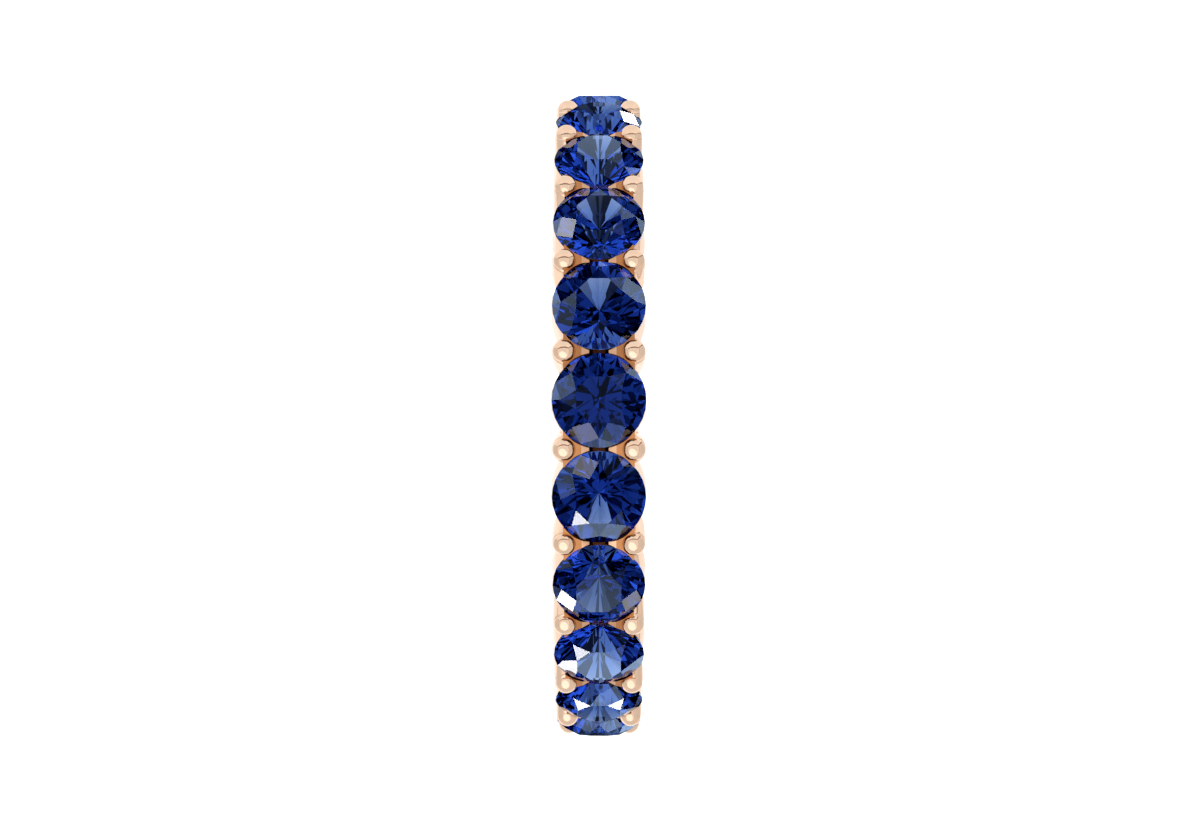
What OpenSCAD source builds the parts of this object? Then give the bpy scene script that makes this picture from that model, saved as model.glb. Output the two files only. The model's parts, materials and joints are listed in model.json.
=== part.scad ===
// Full eternity ring: round brilliant-cut sapphires side by side all the way round,
// each in its own round cup, with a pair of posts and bead tips in every gap.
// The ring's axis is +Z. It lies on its side, with z = 0 at the flats that it rests on.

/* [Finger hole] */
// Inner diameter, a finger size a little over 17 mm
finger_d = 17.3; // [15.3:0.1:20.5]
// Thickness of the plain rail against the finger
rail_t = 0.3; // [0.25:0.01:0.6]
// How far each edge of the rail lies in from the ring's flat sides
rail_inset = 0.205; // [0.05:0.005:0.5]

/* [Stones] */
// Diameter of each stone at its girdle
stone_d = 2.7; // [2.2:0.05:3.1]
// Least gap between two neighbouring girdles
stone_spacing = 0.05; // [0.02:0.01:0.12]
// Height of the crown above the girdle
crown_h = 0.43; // [0.32:0.01:0.5]
// Table, from flat to flat
table_w = 1.3; // [1.1:0.01:1.5]
// Thickness of the girdle where the main facets meet it
girdle_t = 0.07; // [0.05:0.01:0.12]
// Depth of the pavilion below the girdle
pavilion_h = 1.16; // [1:0.01:1.3]
// Share of the crown's slope that the star facets take
star_share = 0.5; // [0.4:0.01:0.6]
// Share of the pavilion's slope that the lower girdle facets take
lower_share = 0.77; // [0.7:0.01:0.85]

/* [Setting] */
// Clearance between a stone and the metal round it
seat_gap = 0.03; // [0.02:0.005:0.05]
// Clearance under the point of each stone
culet_gap = 0.04; // [0.03:0.01:0.15]
// How far the flats that the ring lies on stand out past the girdles
side_lip = 0.015; // [0:0.005:0.2]
// Thickness of a cup's wall at its upper edge
cup_wall = 0.005; // [0.005:0.005:0.05]
// Depth below the girdle at which the sides start to taper in towards the finger
taper_depth = 0.95; // [0.5:0.05:1.2]
// Radius of the posts
post_r = 0.4; // [0.34:0.01:0.42]
// Radius of the bead tips
bead_r = 0.335; // [0.3:0.005:0.34]
// How far each bead lies in from the flats
bead_inset = 0.03; // [0.01:0.005:0.1]
// Height of a bead's centre above the girdle
bead_lift = 0.08; // [0.04:0.01:0.12]
// Height of the flat shoulders above the girdle
shoulder_lift = 0.13; // [0.11:0.01:0.16]
// Length of each shoulder along the finger, from its pocket to its outer end
shoulder_l = 0.52; // [0.4:0.01:0.6]
// How far a shoulder's outer end lies in from the flats
shoulder_inset = 0.345; // [0.25:0.005:0.45]
// Width of each shoulder round the ring, before the seats are cut
shoulder_w = 1.0; // [0.8:0.02:1.2]
// Width of the slot that joins the seats along the middle
slot_w = 0.36; // [0.2:0.02:0.5]

/* [Place] */
// Angle of the first stone round the axis
first_angle = -90; // [-180:1:180]

/* [Hidden] */
// Round surfaces are true circles; this only sets how they are previewed
$fn = 64;
// The ring
finger_r = finger_d / 2;
girdle_r = finger_r + rail_t + culet_gap + pavilion_h + girdle_t / 2;
stone_r = stone_d / 2;
stone_count = floor(180 / asin((stone_d + stone_spacing) / (2 * girdle_r)));
pitch = 360 / stone_count;
half_w = stone_r + side_lip;
rail_half = half_w - rail_inset;
taper_r = girdle_r - taper_depth;
rail_top = finger_r + rail_t;
shoulder_top = girdle_r + shoulder_lift;
bead_y = half_w - bead_inset - bead_r;
shoulder_y = half_w - shoulder_inset - shoulder_l / 2;
// A post and its bead are flush on the outer side, but for a hair
flush = 0.01;
post_y = bead_y + bead_r + flush - post_r;
// Solids that are cut back later, and cutters, reach this far past where they are cut
overcut = 0.3;
outside_r = girdle_r + girdle_t + crown_h + overcut;
// The seats, whose widest stretch reaches this far above and below the girdle's middle
seat_r = stone_r + seat_gap;
seat_half = girdle_t / 2 + seat_gap;
// The facets
sides = 8;
step = 360 / sides;
half = step / 2;
quarter = step / 4;
table_r = table_w / 2 / cos(half);
crown_slope = crown_h / (stone_r - table_r);
star_r = (table_r + star_share * (stone_r - table_r)) / cos(half) * cos(half / 2);
star_z = girdle_t / 2 + crown_h - (star_r * cos(half) - table_r) * crown_slope;
lower_r = (1 - lower_share) * stone_r;
lower_z = -girdle_t / 2 - pavilion_h * (1 - lower_r * cos(half) / stone_r);

function stone_name(i) = str("stone_", i < 10 ? "0" : "", i);

// Height, at the girdle's circle halfway round a girdle facet, of the plane through that
// facet's tip and its two girdle corners, which lie 0 and 22.5 degrees from the tip
function facet_z(tip_r, tip_z, edge_z) =
  let(
    a = [tip_r, 0, tip_z],
    b = [stone_r, 0, edge_z],
    c = [stone_r * cos(half), stone_r * sin(half), edge_z],
    n = cross(b - a, c - a),
    x = stone_r * cos(quarter),
    y = stone_r * sin(quarter)
  )
  tip_z - (n[0] * (x - tip_r) + n[1] * y) / n[2];

function ring_points(r, z, count, turn) = [
  for (i = [0 : count - 1])
    let(a = turn + i * 360 / count)
    [r * cos(a), r * sin(a), is_list(z) ? z[i % len(z)] : z]
];

// One brilliant: its axis is Z, with the table up and the girdle's middle at z = 0.
// The girdle has a corner for each facet edge that meets it and one halfway between.
module brilliant() {
  rim = 4 * sides;
  upper_z = facet_z(star_r, star_z, girdle_t / 2);
  under_z = facet_z(lower_r, lower_z, -girdle_t / 2);
  points = concat(
    ring_points(table_r, girdle_t / 2 + crown_h, sides, half),
    ring_points(star_r, star_z, sides, 0),
    ring_points(stone_r, [girdle_t / 2, upper_z], rim, 0),
    ring_points(stone_r, [-girdle_t / 2, under_z], rim, 0),
    ring_points(lower_r, lower_z, sides, 0),
    [[0, 0, -girdle_t / 2 - pavilion_h]]
  );
  tab = 0;
  star = tab + sides;
  top = star + sides;
  bottom = top + rim;
  low = bottom + rim;
  culet = low + sides;
  faces = concat(
    [[for (i = [sides - 1 : -1 : 0]) tab + i]],
    [for (i = [0 : sides - 1])
      [star + i, tab + (i + sides - 1) % sides, tab + i]],
    [for (i = [0 : sides - 1])
      [tab + i, star + (i + 1) % sides, top + 4 * i + 2, star + i]],
    [for (i = [0 : sides - 1]) each [
      [star + i, top + 4 * i + 2, top + 4 * i + 1, top + 4 * i],
      [star + i, top + 4 * i, top + (4 * i + rim - 1) % rim, top + (4 * i + rim - 2) % rim]
    ]],
    [for (i = [0 : rim - 1])
      [top + i, top + (i + 1) % rim, bottom + (i + 1) % rim, bottom + i]],
    [for (i = [0 : sides - 1]) each [
      [low + i, bottom + 4 * i, bottom + 4 * i + 1, bottom + 4 * i + 2],
      [low + i, bottom + (4 * i + rim - 2) % rim, bottom + (4 * i + rim - 1) % rim, bottom + 4 * i]
    ]],
    [for (i = [0 : sides - 1])
      [culet, low + i, bottom + 4 * i + 2, low + (i + 1) % sides]]
  );
  polyhedron(points = points, faces = faces, convexity = 4);
}

// Puts a child, drawn with Z outwards and its X along the finger, on the ring
module on_ring(angle, r) {
  translate([0, 0, half_w])
    rotate([0, 0, angle])
      translate([r, 0, 0])
        rotate([0, 90, 0])
          children();
}

function stone_angle(i) = first_angle + (i - 1) * pitch;
function gap_angle(i) = stone_angle(i) + pitch / 2;

module stone(i) {
  color("midnightblue")
    on_ring(stone_angle(i), girdle_r)
      brilliant();
}

// The space that a stone takes in the metal, with its clearance. Its upper slope leaves
// the lips of the shoulders standing just over the edge of the crown.
module seat() {
  rotate_extrude()
    polygon([
      [0, -girdle_t / 2 - pavilion_h - culet_gap],
      [seat_r, -seat_half],
      [seat_r, seat_half],
      [star_r + seat_gap, star_z + seat_gap],
      [star_r + seat_gap, outside_r - girdle_r],
      [0, outside_r - girdle_r]
    ]);
}

// A cup ends in a fine edge under the girdle
module cup() {
  h = girdle_r - seat_half - finger_r + overcut;
  translate([0, 0, -seat_half - h])
    cylinder(h = h, r = seat_r + cup_wall);
}

// A post with its bead, on the side of the ring that the sign names
module prong(side) {
  h = shoulder_top - finger_r + overcut;
  translate([side * post_y, 0, shoulder_top - girdle_r - h])
    cylinder(h = h, r = post_r);
  translate([side * bead_y, 0, bead_lift])
    sphere(r = bead_r);
}

// The wall between two cups, inside the post, with its flat shoulder on top
module shoulder(side) {
  h = shoulder_top - finger_r + overcut;
  translate([side * shoulder_y, 0, shoulder_top - girdle_r - h / 2])
    cube([shoulder_l, shoulder_w, h], center = true);
}

// Outline of a slice through the metal: flat sides that taper in to the rail
module envelope() {
  rotate_extrude()
    polygon([
      [finger_r, -rail_half],
      [taper_r, -half_w],
      [outside_r, -half_w],
      [outside_r, half_w],
      [taper_r, half_w],
      [finger_r, rail_half]
    ]);
}

module rail() {
  rotate_extrude()
    translate([finger_r, -rail_half])
      square([rail_t, 2 * rail_half]);
}

module slot() {
  rotate_extrude()
    translate([rail_top, -slot_w / 2])
      square([outside_r - rail_top, slot_w]);
}

module band() {
  color("#e8b48a")
    difference() {
      union() {
        translate([0, 0, half_w])
          rail();
        intersection() {
          translate([0, 0, half_w])
            envelope();
          union() {
            for (i = [1 : stone_count])
              on_ring(stone_angle(i), girdle_r)
                cup();
            for (i = [1 : stone_count], side = [-1, 1])
              on_ring(gap_angle(i), girdle_r) {
                prong(side);
                shoulder(side);
              }
          }
        }
      }
      for (i = [1 : stone_count])
        on_ring(stone_angle(i), girdle_r)
          seat();
      translate([0, 0, half_w])
        slot();
    }
}

band();
for (i = [1 : stone_count])
  stone(i);
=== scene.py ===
import json
import math
from types import SimpleNamespace

import bpy
from bpy.props import FloatProperty, FloatVectorProperty, IntProperty, PointerProperty
from mathutils import Matrix, Vector


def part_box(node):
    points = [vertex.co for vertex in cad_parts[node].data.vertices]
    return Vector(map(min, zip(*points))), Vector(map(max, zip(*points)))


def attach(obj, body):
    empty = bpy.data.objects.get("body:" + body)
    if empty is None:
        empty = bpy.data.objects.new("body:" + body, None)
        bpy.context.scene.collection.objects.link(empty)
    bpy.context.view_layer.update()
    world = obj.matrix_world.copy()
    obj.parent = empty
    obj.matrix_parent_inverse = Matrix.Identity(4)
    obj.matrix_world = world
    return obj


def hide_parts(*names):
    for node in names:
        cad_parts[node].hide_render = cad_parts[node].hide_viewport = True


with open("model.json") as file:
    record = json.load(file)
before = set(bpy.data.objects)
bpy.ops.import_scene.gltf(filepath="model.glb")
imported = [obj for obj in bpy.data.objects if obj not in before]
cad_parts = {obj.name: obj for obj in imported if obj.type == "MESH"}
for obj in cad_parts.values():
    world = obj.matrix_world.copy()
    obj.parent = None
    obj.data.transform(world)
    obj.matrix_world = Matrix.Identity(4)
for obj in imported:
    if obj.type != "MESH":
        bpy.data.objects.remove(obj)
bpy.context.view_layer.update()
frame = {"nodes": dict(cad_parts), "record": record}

# A full eternity ring in rose gold, with round blue sapphires side by side all the way
# round. It lies on its side: its axis is +Z, and z = 0 is the floor under its flats.
# The metal is one soldered and polished piece. It is modelled here as one quarter of the
# stretch between two stones, mirrored twice and copied once for each stone.

bl_info = {
    "name": "Eternity Ring",
    "version": (1, 0, 0),
    "blender": (4, 5, 0),
    "location": "View3D > Sidebar > Ring",
    "description": "Models and finishes a rose gold eternity ring set with round sapphires",
    "category": "Add Mesh",
}

# Blender's unit is the metre. The metal is shaped in millimetres and shrunk when it is
# done, because the modelling tools' tolerances are too coarse for it in metres.
MM = 0.001

BAND = "band"
STONES = sorted(name for name in frame["nodes"] if name.startswith("stone_"))
PITCH = 2 * math.pi / len(STONES)
# The first stone points along -Y, so its box gives the sizes of all of them
STONE_LOW, STONE_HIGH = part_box(STONES[0])
FIRST_ANGLE = math.atan2(STONE_LOW.y + STONE_HIGH.y, STONE_LOW.x + STONE_HIGH.x)
STONE_R = (STONE_HIGH.z - STONE_LOW.z) / 2
CULET_R = -STONE_HIGH.y
MIDDLE_Z = (STONE_LOW.z + STONE_HIGH.z) / 2
FINGER_HOLE = next(m for m in frame["record"]["mounts"] if m["name"] == "finger_hole")
FINGER_R = FINGER_HOLE["dims"]["r_mm"] * MM
RAIL_W = FINGER_HOLE["dims"]["length_mm"] * MM

UP = Vector((0, 0, 1))
# While it is modelled, a gap lies along +X and the stone beside it half a pitch round
OUT = Vector((1, 0, 0))
STONE_WAY = Vector((math.cos(PITCH / 2), math.sin(PITCH / 2), 0))

# For the modelling, in millimetres. Corners that are this close become one:
MERGE = 0.0004
# Corners this close to a plane count as lying in it:
IN_PLANE = 0.0001
# Faces this close to a surface count as part of it:
NEAR = 0.01
# Keeps a cut clear of a surface that it would only touch:
APART = 0.002
# Solids that are trimmed later, and cutters, reach this far past the metal:
OVERCUT_IN, OVERCUT_OUT = 0.3, 1.0

# Faces round a cup or seat, round a post or bead, up a bead, and round a rounded edge
CUP_STEPS, POST_STEPS, BEAD_STEPS, EDGE_STEPS = 96, 64, 32, 4
# Where faces of the metal meet at more than this, their edge is sharp
SHARP = math.radians(28)

# Sizes of the patterns on the surfaces: patches of uneven tone, hairlines (drawn as
# coarse as this so that they show), polishing strokes, and zones of colour in a stone
TONE_SIZE, HAIR_SIZE, STROKE_SIZE, ZONE_SIZE = 1.1 * MM, 0.06 * MM, 0.45 * MM, 2.0 * MM
# How much rougher the metal is in its hairlines
HAIR_ROUGHNESS = 0.08
# The light behind the stones differs by a sixteenth of a turn, which is one facet. The
# seed chooses which of them are light and which are dark.
FACET_TURN = math.pi / 8
FACET_SEED = 4.0
SAPPHIRE_IOR = 1.77


def linear(hex_colour):
    """An sRGB hex colour as linear red, green and blue."""
    parts = [int(hex_colour[i:i + 2], 16) / 255 for i in (1, 3, 5)]
    return tuple(c / 12.92 if c <= 0.04045 else ((c + 0.055) / 1.055) ** 2.4 for c in parts)


def length(name, description, default):
    """A length that a user can change."""
    return FloatProperty(
        name=name, description=description, default=default,
        unit="LENGTH", subtype="DISTANCE", precision=6, min=0.0,
    )


def colour(name, description, default):
    """A colour that a user can change."""
    return FloatVectorProperty(
        name=name, description=description, default=linear(default),
        subtype="COLOR", size=3, min=0.0, max=1.0,
    )


class RingSizes(bpy.types.PropertyGroup):
    """Sizes of the metal"""
    girdle: length("Girdle", "Thickness of a stone's girdle", 0.07 * MM)
    pavilion: length("Pavilion", "Depth of a stone's pavilion below its girdle", 1.16 * MM)
    star_radius: length("Star", "Radius of the circle through the star facets' tips", 1.09 * MM)
    star_height: length("Star height", "Height of those tips from mid-girdle", 0.263 * MM)
    seat_gap: length("Seat gap", "Clearance between a stone and its seat", 0.03 * MM)
    culet_gap: length("Culet gap", "Clearance under the point of a stone", 0.04 * MM)
    cup_wall: length("Cup wall", "How far a cup stands out past its seat", 0.005 * MM)
    cup_lean: length("Cup lean", "How far a cup's upper edge leans in", 0.09 * MM)
    rail: length("Rail", "Thickness of the rail against the finger", 0.3 * MM)
    taper: length("Taper", "Depth below the girdles where the sides start to taper", 0.95 * MM)
    post_radius: length("Post", "Radius of the posts", 0.4 * MM)
    post_edge: length("Post edge", "Rounding of the upper edge of a post", 0.12 * MM)
    bead_radius: length("Bead", "Radius of the bead tips", 0.335 * MM)
    bead_inset: length("Bead inset", "How far a bead lies in from the flats", 0.03 * MM)
    bead_lift: length("Bead lift", "Height of a bead's centre above the girdles", 0.08 * MM)
    flush: length("Flush", "How far a post stands out past its bead", 0.01 * MM)
    shoulder_lift: length("Shoulder lift", "Height of the shoulders over the girdles", 0.13 * MM)
    shoulder_length: length("Shoulder", "Length of a shoulder along the finger", 0.52 * MM)
    shoulder_tip: length("Shoulder tip", "Length of the end that dips into the pocket", 0.22 * MM)
    shoulder_dip: FloatProperty(
        name="Shoulder dip", description="How steeply that end dips",
        default=math.radians(22), subtype="ANGLE", unit="ROTATION",
    )
    shoulder_inset: length("Shoulder inset", "From a shoulder's end to the flats", 0.345 * MM)
    shoulder_width: length("Shoulder width", "Before the seats are cut", 1.0 * MM)
    slot: length("Slot", "Width of the slot that joins the seats", 0.36 * MM)
    edge: length("Edge", "Rounding of the edges of the finger hole", 0.08 * MM)
    lean_depth: length("Lean depth", "Depth below the girdles of where the sides lean", 0.635 * MM)
    lean: FloatProperty(
        name="Lean", description="How far the sides lean in above that, for each length up",
        default=0.04, min=0.0,
    )
    steps: IntProperty(
        name="Steps", description="Faces round the finger hole from one stone to the next",
        default=12, min=4, max=40,
    )


class RingLooks(bpy.types.PropertyGroup):
    """Colours and finish of the ring"""
    gold: colour("Gold", "Rose gold where it is fully polished", "#F6DFC9")
    gold_deep: colour("Deeper gold", "Rose gold where it is a little redder", "#F2D3B5")
    # Painted shade: a darker, redder tan for the shoulders and below the bead tips, in place of
    # the shade and warm bounce light in those recesses
    gold_recess: colour("Gold in recesses", "Rose gold that no wheel polishes", "#BE8658")
    # Painted shade: a dark brown for the pockets and seats, in place of the shade deep between the
    # stones
    gold_pocket: colour("Gold in pockets", "Rose gold deep between the stones", "#4A2A16")
    # Painted glow: the seats give off light of their own, in place of light that comes in behind
    # the stones
    glow: FloatProperty(
        name="Glow", description="Brightness of the light that comes in behind the stones",
        default=0.9, min=0.0,
    )
    # Painted glow: blue light given off by the metal round each girdle
    spill: colour("Spill", "Blue light from a stone on the metal round its girdle", "#3C68C0")
    sapphire: colour("Sapphire", "Tint of a stone's surface", "#F4F7FF")
    sapphire_zone: colour("Colour zone", "Tint of a stone in its bluer zones", "#D6E2FF")
    depth: colour("Depth", "Colour of the light that is left deep in a stone", "#6CADE8")
    absorption: FloatProperty(
        name="Absorption", description="How fast a stone takes up light, for each metre",
        default=1480.0, min=0.0,
    )


class StageLooks(bpy.types.PropertyGroup):
    """Camera, floor and lights"""
    distance: length("Distance", "From the camera to the ring's axis", 64.7 * MM)
    lens: FloatProperty(
        name="Lens", description="Focal length on a sensor 36 mm wide, in millimetres",
        default=57.51, min=10.0,
    )
    turn: FloatProperty(
        name="Turn", description="From the middle of the first stone round to the camera",
        default=math.radians(2.43), subtype="ANGLE", unit="ROTATION",
    )
    aside: length("Aside", "How far the camera stands past the middle of the ring", 0.03 * MM)
    floor: colour("Floor", "Plain pale floor", "#F6F6F6")
    backdrop: colour("Backdrop", "Plain white surroundings", "#FFFFFF")
    cool: colour("Cool light", "Tone of the light that the stones mirror", "#B4D0F4")
    fill: colour("Fill", "Warm light from the metal's own surroundings", "#4A3020")
    brightness: FloatProperty(
        name="Brightness", description="Brightness of the surroundings", default=1.6, min=0.0,
    )


def only(piece):
    """Selects one object alone and makes it the active one."""
    bpy.ops.object.select_all(action="DESELECT")
    piece.select_set(True)
    bpy.context.view_layer.objects.active = piece


def edit(piece):
    """Opens one object alone in edit mode, with all of it selected."""
    only(piece)
    bpy.ops.object.mode_set(mode="EDIT")
    bpy.ops.mesh.select_all(action="SELECT")


def close():
    """Leaves edit mode, with doubles merged and all faces turned outwards."""
    bpy.ops.mesh.select_all(action="SELECT")
    bpy.ops.mesh.remove_doubles(threshold=MERGE)
    bpy.ops.mesh.normals_make_consistent(inside=False)
    bpy.ops.object.mode_set(mode="OBJECT")


def turned(name, outline, steps, axis=UP, side=OUT, centre=Vector()):
    """A solid turned about an axis from an outline of (radius, height) points, which is
    closed or starts and ends on the axis."""
    points = [centre + side * r + axis * h for r, h in outline]
    bpy.ops.object.select_all(action="DESELECT")
    bpy.ops.mesh.primitive_plane_add(size=1)
    piece = bpy.context.active_object
    piece.name = piece.data.name = name
    edit(piece)
    bpy.ops.mesh.merge(type="CENTER")
    bpy.ops.transform.translate(value=points[0])
    for start, end in zip(points, points[1:]):
        bpy.ops.mesh.extrude_vertices_move(TRANSFORM_OT_translate={"value": end - start})
    bpy.ops.mesh.select_all(action="SELECT")
    bpy.ops.mesh.spin(steps=steps, angle=2 * math.pi, center=centre, axis=axis)
    close()
    return piece


def box(name, low, high):
    """A box from one corner to the other."""
    bpy.ops.object.select_all(action="DESELECT")
    bpy.ops.mesh.primitive_cube_add(size=1, location=(low + high) / 2, scale=high - low)
    piece = bpy.context.active_object
    piece.name = piece.data.name = name
    return piece


def combine(piece, operation, *others):
    """Joins, cuts or trims a piece with others, which are then gone."""
    for other in others:
        only(piece)
        modifier = piece.modifiers.new(operation.title(), "BOOLEAN")
        modifier.operation = operation
        modifier.solver = "EXACT"
        modifier.object = other
        bpy.ops.object.modifier_apply(modifier=modifier.name)
        bpy.data.objects.remove(other)


def halve(piece, normal):
    """Keeps the part of a piece behind a plane through the origin, and leaves the cut open."""
    edit(piece)
    bpy.ops.mesh.bisect(
        plane_co=(0, 0, 0), plane_no=normal, clear_outer=True, clear_inner=False,
        use_fill=False, threshold=IN_PLANE,
    )
    close()


def arc(radius, centre_r, centre_h, start, end, steps):
    """Points of an arc, as (radius, height), with angles from the radius to the height."""
    angles = (start + (end - start) * i / steps for i in range(steps + 1))
    return [(centre_r + radius * math.cos(a), centre_h + radius * math.sin(a)) for a in angles]


def measures(sizes):
    """The sizes in the sidebar in millimetres, and what follows from them."""
    m = SimpleNamespace()
    for name in sizes.__annotations__:
        value, unit = getattr(sizes, name), sizes.bl_rna.properties[name].unit
        setattr(m, name, value / MM if unit == "LENGTH" else value)
    # From the ring's axis outwards
    m.finger_r = FINGER_R / MM
    m.rail_top = m.finger_r + m.rail
    m.girdle_r = CULET_R / MM + m.pavilion + m.girdle / 2
    m.inside, m.outside = m.finger_r - OVERCUT_IN, m.girdle_r + OVERCUT_OUT
    m.taper_r, m.lean_r = m.girdle_r - m.taper, m.girdle_r - m.lean_depth
    m.shoulder_top = m.girdle_r + m.shoulder_lift
    m.seat_half = m.girdle / 2 + m.seat_gap
    m.seat_low, m.seat_high = m.girdle_r - m.seat_half, m.girdle_r + m.seat_half
    m.seat_point = CULET_R / MM - m.culet_gap
    # From the middle of the ring towards its flats
    m.half_w, m.rail_half, m.slot_half = MIDDLE_Z / MM, RAIL_W / MM / 2, m.slot / 2
    m.shoulder_end = m.half_w - m.shoulder_inset
    m.shoulder_start = m.shoulder_end - m.shoulder_length
    m.tip_start = m.shoulder_start - m.shoulder_tip
    # From the stone's own axis
    m.seat_r = STONE_R / MM + m.seat_gap
    m.lip_r = m.star_radius + m.seat_gap
    return m


def metal_quarter(m):
    """The metal from the middle of a gap to the middle of the stone beside it, and from
    the middle of the ring up to its flats."""
    # The cup under the stone
    quarter = turned(
        "ring_band",
        [(0, m.inside), (m.seat_r + m.cup_wall, m.inside), (m.seat_r + m.cup_wall, m.lean_r),
         (m.seat_r - m.cup_lean, m.seat_low), (0, m.seat_low)],
        CUP_STEPS, axis=STONE_WAY, side=UP,
    )
    bead_z = m.half_w - m.bead_inset - m.bead_radius
    post_z = bead_z + m.bead_radius + m.flush - m.post_radius
    post = turned(
        "post",
        [(0, m.inside), (m.post_radius, m.inside)]
        + arc(m.post_edge, m.post_radius - m.post_edge, m.shoulder_top - m.post_edge,
              0, math.pi / 2, EDGE_STEPS)
        + [(0, m.shoulder_top)],
        POST_STEPS, axis=OUT, side=UP, centre=UP * post_z,
    )
    bead = turned(
        "bead",
        arc(m.bead_radius, 0, m.girdle_r + m.bead_lift, -math.pi / 2, math.pi / 2, BEAD_STEPS),
        POST_STEPS, axis=OUT, side=UP, centre=UP * bead_z,
    )
    # The flat shoulder, and what is cut off over its dipping inner end
    half = m.shoulder_width / 2
    shoulder = box(
        "shoulder", Vector((m.inside, -half, m.tip_start)),
        Vector((m.shoulder_top, half, m.shoulder_end)),
    )
    over_tip = box(
        "over_tip", Vector((m.shoulder_top, -OVERCUT_OUT, -OVERCUT_OUT)),
        Vector((m.shoulder_top + OVERCUT_OUT, OVERCUT_OUT, m.shoulder_start)),
    )
    edit(over_tip)
    bpy.ops.transform.rotate(
        value=-m.shoulder_dip, orient_axis="Y",
        center_override=(m.shoulder_top, 0, m.shoulder_start),
    )
    bpy.ops.object.mode_set(mode="OBJECT")
    combine(shoulder, "DIFFERENCE", over_tip)
    combine(quarter, "UNION", post, shoulder, bead)

    # All of it is trimmed to the ring's sides, which taper in to the finger hole and lean
    # in a little beside the stones
    around = m.steps * len(STONES)
    outside_half = m.half_w - m.lean * (m.outside - m.lean_r)
    lower_edge = arc(
        m.edge, m.finger_r + m.edge, m.edge - m.rail_half, math.pi, math.pi * 1.5, EDGE_STEPS,
    )
    upper_edge = [(r, -h) for r, h in reversed(lower_edge)]
    envelope = turned(
        "envelope",
        lower_edge
        + [(m.taper_r, -m.half_w), (m.lean_r, -m.half_w), (m.outside, -outside_half),
           (m.outside, outside_half), (m.lean_r, m.half_w), (m.taper_r, m.half_w)]
        + upper_edge + lower_edge[:1],
        around,
    )
    slot = turned(
        "slot",
        [(m.inside, -m.slot_half), (m.outside, -m.slot_half), (m.outside, m.slot_half),
         (m.inside, m.slot_half), (m.inside, -m.slot_half)],
        around,
    )
    combine(quarter, "INTERSECT", envelope)
    combine(quarter, "DIFFERENCE", slot)
    # The rail comes after the slot, so that no cut runs along its surface
    rail = turned(
        "rail",
        lower_edge + [(m.rail_top, -m.rail_half), (m.rail_top, m.rail_half)]
        + upper_edge + lower_edge[:1],
        around,
    )
    combine(quarter, "UNION", rail)
    # The seat leaves the lips of the shoulders standing just over the edge of the crown
    lip_top = m.girdle_r + (m.star_height + m.seat_gap)
    seat = turned(
        "seat",
        [(0, m.seat_point + APART), (m.seat_r, m.seat_low), (m.seat_r, m.seat_high),
         (m.lip_r, lip_top), (m.lip_r, m.outside), (0, m.outside)],
        CUP_STEPS, axis=STONE_WAY, side=UP,
    )
    combine(quarter, "DIFFERENCE", seat)

    # Cut through the middle of the gap, of the ring's width and of the stone
    halve(quarter, OUT.cross(UP))
    halve(quarter, -UP)
    halve(quarter, UP.cross(STONE_WAY))
    return quarter


def finish_at(face, m):
    """The finish of one face of the quarter, from where it lies and the way it faces."""
    middle = face.center
    up = middle.dot(STONE_WAY)
    aside = (middle - up * STONE_WAY).length
    if abs(up - m.girdle_r) < m.seat_half + NEAR and abs(aside - m.seat_r) < NEAR:
        return "round_girdles"
    cone_r = m.seat_r * (up - m.seat_point) / (m.seat_low - m.seat_point)
    on_cone = up < m.seat_low and abs(aside - cone_r) < NEAR
    on_rail = abs(middle.xy.length - m.rail_top) < NEAR and middle.z < m.slot_half + NEAR
    on_slot = middle.x < m.girdle_r and abs(middle.z - m.slot_half) < NEAR
    if on_cone or on_rail or on_slot:
        return "under_stones"
    if middle.x > m.rail_top and middle.z < m.tip_start + NEAR:
        return "in_pockets"
    if middle.x > m.girdle_r and middle.z < m.shoulder_start \
            and abs(face.normal.x - math.cos(m.shoulder_dip)) < NEAR:
        return "filed_tips"
    if abs(middle.x - m.shoulder_top) < NEAR and face.normal.x > 1 - NEAR:
        return "in_recesses"
    return "polished"


def whole_ring(quarter):
    """The quarter mirrored to a whole gap, copied once for each stone and joined."""
    only(quarter)
    mirror = quarter.modifiers.new("Mirror", "MIRROR")
    mirror.use_axis = (False, True, True)
    mirror.merge_threshold = MERGE
    bpy.ops.object.modifier_apply(modifier=mirror.name)

    copies = []
    for i in range(len(STONES)):
        only(quarter)
        bpy.ops.object.duplicate()
        copy = bpy.context.active_object
        copy.rotation_euler.z = FIRST_ANGLE + (i + 0.5) * PITCH
        copies.append(copy)
    bpy.data.objects.remove(quarter)
    only(copies[0])
    for copy in copies:
        copy.select_set(True)
    bpy.ops.object.transform_apply()
    bpy.ops.object.join()
    band = bpy.context.active_object
    band.name = band.data.name = "ring_band"
    edit(band)
    close()
    band.scale = (MM, MM, MM)
    band.location.z = MIDDLE_Z
    only(band)
    bpy.ops.object.transform_apply()
    bpy.ops.object.shade_smooth_by_angle(angle=SHARP)
    return band


class RING_OT_band(bpy.types.Operator):
    """Model the metal of the ring"""
    bl_idname = "ring.band"
    bl_label = "Metal"

    def execute(self, context):
        m = measures(context.scene.ring_sizes)
        quarter = metal_quarter(m)
        finishes = metal_finishes(context.scene.ring_looks, m.shoulder_top * MM)
        quarter.data.materials.clear()
        for finish in finishes.values():
            quarter.data.materials.append(finish)
        slots = list(finishes)
        for face in quarter.data.polygons:
            face.material_index = slots.index(finish_at(face, m))
        band = whole_ring(quarter)

        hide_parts(BAND)
        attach(band, "root")
        return {"FINISHED"}


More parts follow.
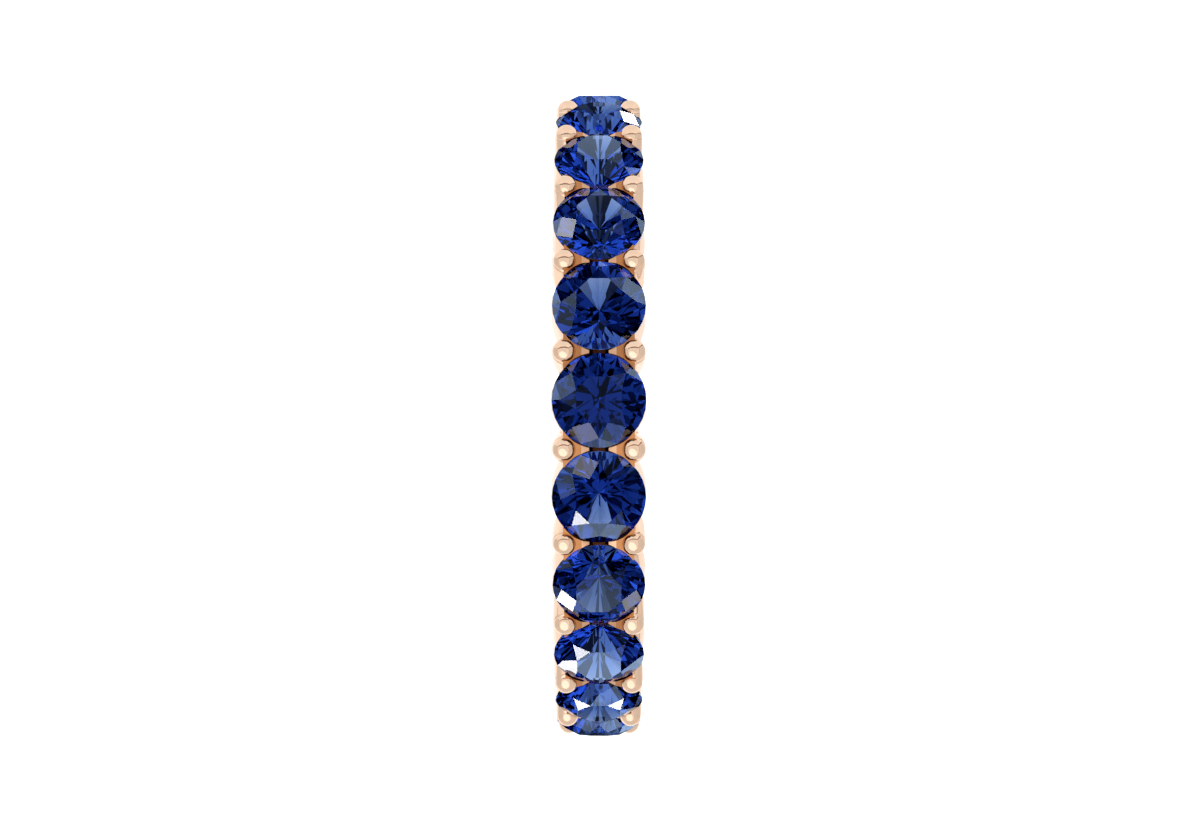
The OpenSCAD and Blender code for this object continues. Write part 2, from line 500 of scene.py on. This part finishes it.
def add(tree, kind, inputs=None, **settings):
    """A new node with its settings. Each input has a value, or the output that feeds it."""
    node = tree.nodes.new(kind)
    for name, value in settings.items():
        setattr(node, name, value)
    for socket, given in (inputs or {}).items():
        if isinstance(given, bpy.types.NodeSocket):
            tree.links.new(given, node.inputs[socket])
        else:
            node.inputs[socket].default_value = given
    return node


def material(name):
    """An empty material and its node tree."""
    made = bpy.data.materials.new(name)
    made.use_nodes = True
    made.node_tree.nodes.clear()
    return made, made.node_tree


def from_axis(tree, place):
    """The distance of a point on the surface from the ring's axis."""
    flat = add(tree, "ShaderNodeVectorMath", {0: place, 1: (1, 1, 0)}, operation="MULTIPLY")
    far = add(tree, "ShaderNodeVectorMath", {0: flat.outputs["Vector"]}, operation="LENGTH")
    return far.outputs["Value"]


def painted_recess_shade(tree, place, shoulder_top):
    """Where painted shade darkens the polish: below the bead tips, away from the
    flanks and the finger hole."""
    parts = add(tree, "ShaderNodeSeparateXYZ", {0: place})
    off_middle = add(
        tree, "ShaderNodeMath", {0: parts.outputs["Z"], 1: MIDDLE_Z}, operation="SUBTRACT",
    )
    aside = add(tree, "ShaderNodeMath", {0: off_middle.outputs["Value"]}, operation="ABSOLUTE")
    # It is full up to 0.68 mm from the middle of the ring, and gone at 1 mm
    off_flanks = add(
        tree, "ShaderNodeMapRange",
        {"Value": aside.outputs["Value"], "From Min": 1.0 * MM, "From Max": 0.68 * MM},
        interpolation_type="SMOOTHSTEP",
    )
    far = from_axis(tree, place)
    # It starts 0.1 mm off the finger hole, and is full at 0.3 mm
    off_hole = add(
        tree, "ShaderNodeMapRange",
        {"Value": far, "From Min": FINGER_R + 0.1 * MM, "From Max": FINGER_R + 0.3 * MM},
    )
    # It is full up to 0.01 mm above the shoulders, and gone at 0.07 mm
    below_tips = add(
        tree, "ShaderNodeMapRange",
        {"Value": far, "From Min": shoulder_top + 0.07 * MM,
         "From Max": shoulder_top + 0.01 * MM},
    )
    inward = add(
        tree, "ShaderNodeMath",
        {0: below_tips.outputs["Result"], 1: off_hole.outputs["Result"]},
        operation="MULTIPLY",
    )
    skin = add(
        tree, "ShaderNodeMath",
        {0: off_flanks.outputs["Result"], 1: inward.outputs["Value"]}, operation="MULTIPLY",
    )
    return skin.outputs["Value"]


def painted_glow_behind(tree, place, glow):
    """How strongly the metal gives off a painted glow of its own, in place of light that comes
    in from behind a stone. It differs from facet to facet of the stone's pavilion, and is
    seen only through the stone."""
    parts = add(tree, "ShaderNodeSeparateXYZ", {0: place})
    angle = add(
        tree, "ShaderNodeMath", {0: parts.outputs["Y"], 1: parts.outputs["X"]},
        operation="ARCTAN2",
    )
    round_ring = add(
        tree, "ShaderNodeMath", {0: angle.outputs["Value"], 1: FIRST_ANGLE},
        operation="SUBTRACT",
    )
    pitches = add(
        tree, "ShaderNodeMath", {0: round_ring.outputs["Value"], 1: PITCH},
        operation="DIVIDE",
    )
    which_stone = add(
        tree, "ShaderNodeMath", {0: pitches.outputs["Value"]}, operation="ROUND",
    )
    # The point's place as the stone's table is looked at, and so the facet behind it
    from_stone = add(
        tree, "ShaderNodeMath",
        {0: round_ring.outputs["Value"], 1: PITCH / 2, 2: -PITCH / 2}, operation="WRAP",
    )
    sine = add(tree, "ShaderNodeMath", {0: from_stone.outputs["Value"]}, operation="SINE")
    across = add(
        tree, "ShaderNodeMath", {0: sine.outputs["Value"], 1: from_axis(tree, place)},
        operation="MULTIPLY",
    )
    along = add(
        tree, "ShaderNodeMath", {0: parts.outputs["Z"], 1: MIDDLE_Z}, operation="SUBTRACT",
    )
    round_stone = add(
        tree, "ShaderNodeMath", {0: across.outputs["Value"], 1: along.outputs["Value"]},
        operation="ARCTAN2",
    )
    facets = add(
        tree, "ShaderNodeMath", {0: round_stone.outputs["Value"], 1: FACET_TURN},
        operation="DIVIDE",
    )
    which_facet = add(
        tree, "ShaderNodeMath", {0: facets.outputs["Value"]}, operation="FLOOR",
    )
    facet = add(
        tree, "ShaderNodeCombineXYZ",
        {0: which_facet.outputs["Value"], 1: which_stone.outputs["Value"], 2: FACET_SEED},
    )
    chance = add(tree, "ShaderNodeTexWhiteNoise", {"Vector": facet.outputs["Vector"]})
    # Some facets glow fully, some nearly not at all, and most lie in between
    lit = add(
        tree, "ShaderNodeMapRange",
        {"Value": chance.outputs["Value"], "From Min": 0.15, "From Max": 0.85,
         "To Min": 0.04 * glow, "To Max": glow},
    )
    ray = add(tree, "ShaderNodeLightPath")
    through = add(
        tree, "ShaderNodeMath", {0: ray.outputs["Transmission Depth"], 1: 1.0},
        operation="MINIMUM",
    )
    seen = add(
        tree, "ShaderNodeMath", {0: lit.outputs["Result"], 1: through.outputs["Value"]},
        operation="MULTIPLY",
    )
    return seen.outputs["Value"]


def rose_gold(finish, gold, least_rough, deeper=None, skin=None, skin_top=0.0, glow=0.0,
              glow_colour=(1, 1, 1)):
    """14 carat rose gold, cast, tumbled and hand polished: a warm mirror whose reflections
    waver a little, with a slightly uneven tone and hairlines from wear that soften them.
    In the recesses it is nearly satin, as the casting left it, and its deeper colour there is
    painted shade."""
    made, tree = material("rose_gold_" + finish)
    place = add(tree, "ShaderNodeTexCoord").outputs["Object"]
    hairs = add(
        tree, "ShaderNodeTexNoise", {"Vector": place, "Scale": 1 / HAIR_SIZE, "Detail": 3.0},
    )
    rough = add(
        tree, "ShaderNodeMapRange",
        {"Value": hairs.outputs["Fac"], "From Min": 0.35, "From Max": 0.75,
         "To Min": least_rough, "To Max": least_rough + HAIR_ROUGHNESS},
    )
    # The surface wavers by the width of a polishing stroke
    waver = add(
        tree, "ShaderNodeTexNoise", {"Vector": place, "Scale": 1 / STROKE_SIZE, "Detail": 1.0},
    )
    bump = add(
        tree, "ShaderNodeBump",
        {"Height": waver.outputs["Fac"], "Strength": 0.12, "Distance": 0.02 * MM},
    )
    shader = add(
        tree, "ShaderNodeBsdfPrincipled",
        {"Base Color": (*gold, 1), "Metallic": 1.0, "Roughness": rough.outputs["Result"],
         "Normal": bump.outputs["Normal"]},
    )
    if deeper is not None:
        # Uneven tone, and in the polished metal painted shade below the bead tips
        tone = add(
            tree, "ShaderNodeTexNoise",
            {"Vector": place, "Scale": 1 / TONE_SIZE, "Detail": 2.0},
        )
        colours = add(
            tree, "ShaderNodeMix", {0: tone.outputs["Fac"], 6: (*gold, 1), 7: (*deeper, 1)},
            data_type="RGBA",
        )
        # Painted shade: below the bead tips the polish turns to the darker recess colour
        if skin is not None:
            colours = add(
                tree, "ShaderNodeMix",
                {0: painted_recess_shade(tree, place, skin_top), 6: colours.outputs[2], 7: (*skin, 1)},
                data_type="RGBA",
            )
        tree.links.new(colours.outputs[2], shader.inputs["Base Color"])
    # Painted glow: the metal itself gives off light, in place of light that comes in behind the
    # stones
    if glow:
        shader.inputs["Emission Color"].default_value = (*glow_colour, 1)
        tree.links.new(painted_glow_behind(tree, place, glow), shader.inputs["Emission Strength"])
        made.cycles.emission_sampling = "NONE"
    add(tree, "ShaderNodeOutputMaterial", {"Surface": shader.outputs["BSDF"]})
    return made


def metal_finishes(looks, shoulder_top):
    """The finishes of the metal, by their names, in the order of the material slots."""
    dark_pocket_shade = looks.gold_pocket
    finishes = {
        # By wheel and hand: bright warm reflections, with painted shade in the hollows below the
        # bead tips
        "polished": dict(
            gold=looks.gold, deeper=looks.gold_deep, least_rough=0.08,
            skin=looks.gold_recess, skin_top=shoulder_top,
        ),
        # The flat shoulders: an even satin tan, rougher than the polish, whose darker colour is
        # painted shade of the recess
        "in_recesses": dict(gold=looks.gold_recess, least_rough=0.35),
        # The walls of the pockets, nearly matt: painted shade, dark brown between the stones
        "in_pockets": dict(gold=dark_pocket_shade, least_rough=0.45),
        # The seats: painted shade, and a painted glow of their own, light and dark from facet to
        # facet, seen deep in the blue
        "under_stones": dict(gold=dark_pocket_shade, least_rough=0.35, glow=looks.glow),
        # The dipping ends of the shoulders, filed: lighter than the flats, and uneven, between a
        # redder gold and the painted recess shade
        "filed_tips": dict(gold=looks.gold_deep, deeper=looks.gold_recess, least_rough=0.3),
        # The seats' walls round the girdles: painted shade with a painted blue glow, in place of
        # the stones' blue light
        "round_girdles": dict(
            gold=dark_pocket_shade, least_rough=0.35, glow=looks.glow, glow_colour=looks.spill,
        ),
    }
    return {name: rose_gold(name, **settings) for name, settings in finishes.items()}


def sapphire(looks):
    """Blue sapphire, cut and polished: sharp bright facet reflections over a deep blue that
    turns to navy where light takes a long way, with faint zones of colour from its growth."""
    made, tree = material("blue_sapphire_polished")
    place = add(tree, "ShaderNodeTexCoord").outputs["Object"]
    zones = add(
        tree, "ShaderNodeTexNoise", {"Vector": place, "Scale": 1 / ZONE_SIZE, "Detail": 2.0},
    )
    tint = add(
        tree, "ShaderNodeMix",
        {0: zones.outputs["Fac"], 6: (*looks.sapphire, 1), 7: (*looks.sapphire_zone, 1)},
        data_type="RGBA",
    )
    shader = add(
        tree, "ShaderNodeBsdfPrincipled",
        {"Base Color": tint.outputs[2], "Transmission Weight": 1.0, "IOR": SAPPHIRE_IOR,
         "Roughness": 0.0},
    )
    # Light that a mirror sent has not been through a stone yet. To it the stones are clear,
    # so that the polished metal beside them shows gold and no dark blue.
    ray = add(tree, "ShaderNodeLightPath")
    no_stone_yet = add(
        tree, "ShaderNodeMath", {0: ray.outputs["Transmission Depth"], 1: 0.5},
        operation="LESS_THAN",
    )
    mirror_sent = add(
        tree, "ShaderNodeMath",
        {0: ray.outputs["Is Glossy Ray"], 1: no_stone_yet.outputs["Value"]},
        operation="MULTIPLY",
    )
    clear = add(tree, "ShaderNodeBsdfTransparent")
    surface = add(
        tree, "ShaderNodeMixShader",
        {0: mirror_sent.outputs["Value"], 1: shader.outputs["BSDF"], 2: clear.outputs["BSDF"]},
    )
    density = add(
        tree, "ShaderNodeMapRange",
        {"Value": mirror_sent.outputs["Value"], "To Min": looks.absorption, "To Max": 0.0},
    )
    body = add(
        tree, "ShaderNodeVolumeAbsorption",
        {"Color": (*looks.depth, 1), "Density": density.outputs["Result"]},
    )
    add(
        tree, "ShaderNodeOutputMaterial",
        {"Surface": surface.outputs["Shader"], "Volume": body.outputs["Volume"]},
    )
    return made


class RING_OT_stones(bpy.types.Operator):
    """Give the stones their finish"""
    bl_idname = "ring.stones"
    bl_label = "Stones"

    def execute(self, context):
        finish = sapphire(context.scene.ring_looks)
        for name in STONES:
            stone = frame["nodes"][name]
            stone.data.materials.clear()
            stone.data.materials.append(finish)
        return {"FINISHED"}


# Soft light, as flat panels. Places are in millimetres from the middle of the ring to the
# right, up and towards the camera. The metal stands in a light tent: each wall gives its
# name, the middle of the wall, the way it faces, its width and height, and its brightness.
# The walls all but meet. The slits in front of the top and to its right are the thin
# dark arcs in the upper half of the polished beads.
TENT_WALLS = [
    ("tent_front", (-6, -17.25, 24.2), (0, 0, -1), (48, 57.5), 0.82),
    ("tent_top", (-7.5, 14, 6), (0, -1, 0), (45, 32), 0.88),
    ("tent_right", (18, -16, 7), (-1, 0, 0), (32.4, 60), 0.66),
    ("tent_left", (-30, -16, 7), (1, 0, 0), (32.4, 60), 0.66),
    ("tent_bottom", (-6, -46, 7), (0, 1, 0), (48, 32.4), 0.7),
    ("tent_top_behind", (-6, 14, -25), (0, -1, 0), (48, 30), 1.0),
    ("tent_right_behind", (18, -16, -25), (-1, 0, 0), (30, 60), 0.95),
    ("tent_left_behind", (-30, -16, -25), (1, 0, 0), (30, 60), 0.95),
    ("tent_bottom_behind", (-6, -46, -25), (0, 1, 0), (48, 30), 0.95),
    ("tent_back", (-6, -16, -40), (0, 0, 1), (48, 60), 1.1),
]
# Ellipses that add up to a bright patch on the front wall, which fades outwards in steps.
# The height of each is a multiple of its width.
PATCH_WIDTHS, PATCH_HEIGHT = (12, 16, 20, 25, 31), 1.5
PATCH_PLACE, PATCH_FACES, PATCH_BRIGHTNESS = (-5, -22, 24.1), (0, 0, -1), 0.37
# A little warm light from all sides, also through the slits. Each side gives its name and
# the way it faces.
FILL_SIDES = [
    ("fill_front", (0, 0, -1)), ("fill_back", (0, 0, 1)), ("fill_top", (0, -1, 0)),
    ("fill_bottom", (0, 1, 0)), ("fill_right", (-1, 0, 0)), ("fill_left", (1, 0, 0)),
]
FILL_DISTANCE, FILL_SIZE, FILL_BRIGHTNESS = 60, (240, 240), 1.0

# Small square lamps that give single facets of the stones a white flash. Each gives its
# name, its direction in degrees to the right and up, its width in degrees as the ring sees
# it, and its brightness.
FLASHES = [
    ("flash_left", (-27, 31), 5, 1.6),
    ("flash_upper_left", (-69, 34), 6, 3.6),
    ("flash_lower_left", (-36, -52), 6, 1.8),
    ("flash_below", (-54, -55), 5, 10.0),
    ("flash_low_behind", (-112, -51), 6, 11.0),
    ("flash_far_below", (-116, -59), 4, 10.0),
    ("flash_far_left", (-151, -42), 4, 4.5),
    ("flash_steep_left", (-107, -69), 5, 10.0),
    ("flash_steep_right", (107, -69), 5, 9.0),
    ("flash_right", (112, -51), 5, 1.8),
    ("flash_upper_right", (138, 49), 6, 10.0),
]
FLASH_DISTANCE = 250
# In metres
STUDIO_R, FLOOR_SIZE = 0.3, 20


def studio_walls(to_lens, cool):
    """A studio that only the stones see: dark round the lens and brighter to all sides. They
    mirror soft uneven light, and inside them it is panels with dark gaps between them,
    which brings their facets out."""
    made, tree = material("studio_walls")
    made.cycles.emission_sampling = "NONE"
    place = add(tree, "ShaderNodeTexCoord").outputs["Object"]
    way = add(tree, "ShaderNodeVectorMath", {0: place}, operation="NORMALIZE").outputs["Vector"]
    # The cosine of the angle from the lens, by which the light changes
    from_lens = add(
        tree, "ShaderNodeVectorMath", {0: way, 1: to_lens}, operation="DOT_PRODUCT",
    ).outputs["Value"]

    # What the stones mirror: soft patches away from the lens, and a faint light right at it
    soft = add(tree, "ShaderNodeTexNoise", {"Vector": way, "Scale": 1.7, "Detail": 0.0})
    uneven = add(
        tree, "ShaderNodeMapRange",
        {"Value": soft.outputs["Fac"], "From Min": 0.5, "From Max": 0.64,
         "To Min": 0.0, "To Max": 2.8},
        interpolation_type="SMOOTHSTEP",
    )
    around = add(
        tree, "ShaderNodeMapRange",
        {"Value": from_lens, "From Min": 0.85, "From Max": 0.0, "To Min": 0.0, "To Max": 1.0},
        interpolation_type="SMOOTHSTEP",
    )
    lights = add(
        tree, "ShaderNodeMath",
        {0: uneven.outputs["Result"], 1: around.outputs["Result"]}, operation="MULTIPLY",
    )
    lens = add(
        tree, "ShaderNodeMapRange",
        {"Value": from_lens, "From Min": 0.94, "From Max": 0.97, "To Max": 0.14},
    )
    mirrored = add(
        tree, "ShaderNodeMath",
        {0: lights.outputs["Value"], 1: lens.outputs["Result"]}, operation="MAXIMUM",
    )

    # What is seen inside the stones: panels of many tones, dimmer round the lens
    cells = add(tree, "ShaderNodeTexVoronoi", {"Vector": way, "Scale": 5.0})
    panels = add(
        tree, "ShaderNodeMapRange",
        {"Value": cells.outputs["Color"], "From Min": 0.38, "From Max": 0.7,
         "To Min": 0.0, "To Max": 2.3},
    )
    lens_shade = add(
        tree, "ShaderNodeMapRange",
        {"Value": from_lens, "From Min": 0.94, "From Max": 0.57,
         "To Min": 0.22, "To Max": 1.0},
        interpolation_type="SMOOTHSTEP",
    )
    inside = add(
        tree, "ShaderNodeMath",
        {0: panels.outputs["Result"], 1: lens_shade.outputs["Result"]}, operation="MULTIPLY",
    )
    is_inside = add(tree, "ShaderNodeLightPath").outputs["Is Transmission Ray"]
    strength = add(
        tree, "ShaderNodeMix",
        {0: is_inside, 2: mirrored.outputs["Value"], 3: inside.outputs["Value"]},
        data_type="FLOAT",
    )
    tone = add(
        tree, "ShaderNodeMix", {0: is_inside, 6: (*cool, 1), 7: (1, 1, 1, 1)},
        data_type="RGBA",
    )
    glow = add(
        tree, "ShaderNodeEmission",
        {"Color": tone.outputs[2], "Strength": strength.outputs[0]},
    )
    add(tree, "ShaderNodeOutputMaterial", {"Surface": glow.outputs["Emission"]})
    return made


def panel(name, turn, place, faces, size, brightness, receivers):
    """A flat soft light that only its receivers see. Its place and the way it faces are
    given as the camera sees them, and its size in millimetres."""
    light = bpy.data.lights.new(name, "AREA")
    light.shape = "RECTANGLE"
    light.size, light.size_y = size[0] * MM, size[1] * MM
    light.energy = math.pi * brightness * light.size * light.size_y
    lamp = bpy.data.objects.new(name, light)
    bpy.context.scene.collection.objects.link(lamp)
    # A lamp shines along its own -Z. Its Y is up, or towards the camera where it faces up
    # or down.
    behind = -Vector(faces)
    upright = Vector((0, 1, 0)) if abs(behind.y) < 0.9 else Vector((0, 0, 1))
    across = upright.cross(behind).normalized()
    facing = Matrix((across, behind.cross(across), behind)).transposed()
    ring_middle = Matrix.Translation(UP * MIDDLE_Z) @ turn
    at = Matrix.Translation(Vector(place) * MM)
    lamp.matrix_world = ring_middle @ at @ facing.to_4x4()
    lamp.visible_camera = False
    lamp.light_linking.receiver_collection = receivers
    return lamp


class RING_OT_stage(bpy.types.Operator):
    """Set up the camera, the floor and the lights"""
    bl_idname = "ring.stage"
    bl_label = "Camera, floor and lights"

    def execute(self, context):
        look = context.scene.ring_stage
        scene = context.scene
        scene.view_settings.view_transform = "Standard"
        scene.cycles.max_bounces = 24
        scene.cycles.transmission_bounces = 16
        scene.cycles.glossy_bounces = 8
        scene.cycles.caustics_refractive = True
        scene.cycles.caustics_reflective = True

        # The camera looks at the ring's axis from in front of the first stone, just above
        # the floor, and is rolled so that the floor stands at the left of the picture
        round_to = FIRST_ANGLE + look.turn
        back = Vector((math.cos(round_to), math.sin(round_to), 0))
        turn = Matrix((UP, back.cross(UP), back)).transposed().to_4x4()
        camera = bpy.data.objects.new("camera", bpy.data.cameras.new("camera"))
        scene.collection.objects.link(camera)
        camera.data.lens = look.lens
        camera.data.sensor_width = 36
        camera.data.clip_start, camera.data.clip_end = 0.001, 100
        stand = back * look.distance + UP * (MIDDLE_Z + look.aside)
        camera.matrix_world = Matrix.Translation(stand) @ turn
        scene.camera = camera

        world = bpy.data.worlds.new("white_surroundings")
        scene.world = world
        world.use_nodes = True
        shine = world.node_tree.nodes["Background"]
        shine.inputs["Color"].default_value = (*look.backdrop, 1)
        shine.inputs["Strength"].default_value = look.brightness
        world.cycles_visibility.glossy = world.cycles_visibility.transmission = False

        bpy.ops.object.select_all(action="DESELECT")
        bpy.ops.mesh.primitive_plane_add(size=FLOOR_SIZE)
        floor = context.active_object
        floor.name = floor.data.name = "floor"
        # A pale light table: its own glow keeps the shadow where the ring touches it faint
        made, tree = material("light_table_pale_acrylic")
        paint = add(
            tree, "ShaderNodeBsdfPrincipled",
            {"Base Color": (*look.floor, 1), "Roughness": 0.9, "Specular IOR Level": 0.0,
             "Emission Color": (*look.floor, 1), "Emission Strength": 0.6},
        )
        add(tree, "ShaderNodeOutputMaterial", {"Surface": paint.outputs["BSDF"]})
        floor.data.materials.append(made)
        floor.visible_glossy = floor.visible_transmission = floor.visible_shadow = False

        lit = {}
        for name, members in (("metal", ["ring_band"]), ("stones", STONES)):
            lit[name] = bpy.data.collections.new("lit_" + name)
            for member in members:
                lit[name].objects.link(bpy.data.objects[member])
        bpy.ops.object.select_all(action="DESELECT")
        bpy.ops.mesh.primitive_uv_sphere_add(segments=64, ring_count=32, radius=STUDIO_R)
        studio = context.active_object
        studio.name = studio.data.name = "studio"
        bpy.ops.object.shade_smooth()
        studio.data.materials.append(studio_walls(back, look.cool))
        studio.visible_camera = studio.visible_diffuse = studio.visible_shadow = False
        studio.light_linking.receiver_collection = lit["stones"]

        for name, place, faces, size, brightness in TENT_WALLS:
            panel(name, turn, place, faces, size, brightness, lit["metal"])
        for width in PATCH_WIDTHS:
            lamp = panel(
                f"lamp_{width}", turn, PATCH_PLACE, PATCH_FACES,
                (width, PATCH_HEIGHT * width), PATCH_BRIGHTNESS, lit["metal"],
            )
            lamp.data.shape = "ELLIPSE"
        for name, faces in FILL_SIDES:
            place = -Vector(faces) * FILL_DISTANCE
            lamp = panel(
                name, turn, place, faces, FILL_SIZE, FILL_BRIGHTNESS, lit["metal"],
            )
            lamp.data.color = look.fill
        for name, (aside, above), angle, brightness in FLASHES:
            a, b = math.radians(aside), math.radians(above)
            way = Vector((math.sin(a) * math.cos(b), math.sin(b), math.cos(a) * math.cos(b)))
            width = 2 * FLASH_DISTANCE * math.tan(math.radians(angle / 2))
            panel(
                name, turn, way * FLASH_DISTANCE, -way, (width, width), brightness,
                lit["stones"],
            )
        return {"FINISHED"}


class RING_PT_sidebar(bpy.types.Panel):
    """The ring's sizes and looks, and its steps in order"""
    bl_idname = "RING_PT_sidebar"
    bl_label = "Eternity Ring"
    bl_space_type = "VIEW_3D"
    bl_region_type = "UI"
    bl_category = "Ring"

    def draw(self, context):
        for name, group in GROUPS.items():
            column = self.layout.column(align=True)
            for setting in group.__annotations__:
                column.prop(getattr(context.scene, name), setting)
        for operator in OPERATORS:
            self.layout.operator(operator.bl_idname)


GROUPS = {"ring_sizes": RingSizes, "ring_looks": RingLooks, "ring_stage": StageLooks}
OPERATORS = (RING_OT_band, RING_OT_stones, RING_OT_stage)


def register():
    """Adds the properties, the operators and the panel to Blender."""
    for name, group in GROUPS.items():
        bpy.utils.register_class(group)
        setattr(bpy.types.Scene, name, PointerProperty(type=group))
    for operator in OPERATORS:
        bpy.utils.register_class(operator)
    bpy.utils.register_class(RING_PT_sidebar)


def unregister():
    """Takes them out again."""
    bpy.utils.unregister_class(RING_PT_sidebar)
    for operator in reversed(OPERATORS):
        bpy.utils.unregister_class(operator)
    for name, group in reversed(GROUPS.items()):
        delattr(bpy.types.Scene, name)
        bpy.utils.unregister_class(group)


def main():
    """Builds and dresses the whole scene."""
    register()
    bpy.ops.ring.band()
    bpy.ops.ring.stones()
    bpy.ops.ring.stage()


if __name__ == "__main__":
    main()
